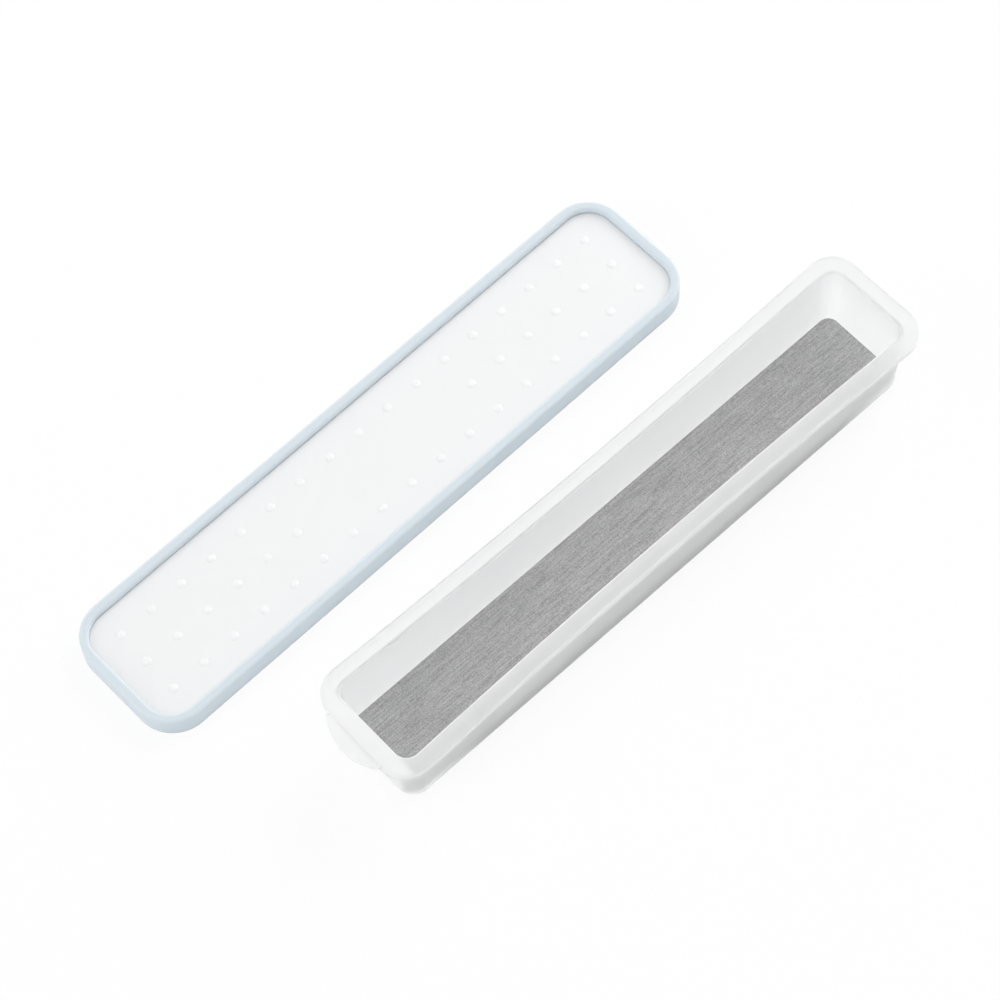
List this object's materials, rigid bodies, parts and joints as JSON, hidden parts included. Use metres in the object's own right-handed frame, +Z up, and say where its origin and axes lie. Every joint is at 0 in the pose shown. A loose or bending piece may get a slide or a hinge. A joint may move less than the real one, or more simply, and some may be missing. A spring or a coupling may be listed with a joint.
{
  "type": "toothbrush travel case",
  "caption": "Long open tray with a lipped rim, floor mat and pull tab, lying beside its press-on lid with a dotted panel and a soft raised rim.",
  "frame": {"origin": "middle of the tray's underside, on the surface that the case rests on", "axes": "+X along the tray, away from its pull tab; +Y across, towards the side where the lid lies; +Z up"},
  "size_m": [0.2485, 0.1175, 0.0292],
  "materials": {
    "tray": "frosted translucent white polypropylene, satin",
    "liner": "soft grey grip mat with a fine lengthwise grain, matte",
    "lid_panel": "translucent white polypropylene, satin, raised dots",
    "lid_rim": "pale blue soft thermoplastic rubber, satin"
  },
  "bodies": {
    "case": {"tray": "tray", "liner": "liner"},
    "lid": {"lid_panel": "lid_panel", "lid_rim": "lid_rim"}
  },
  "joints": [
    {"name": "lid_lift", "type": "slide", "parent": "case", "child": "lid", "axis": [0, 0, 1], "range_m": [0, 0.05]}
  ]
}
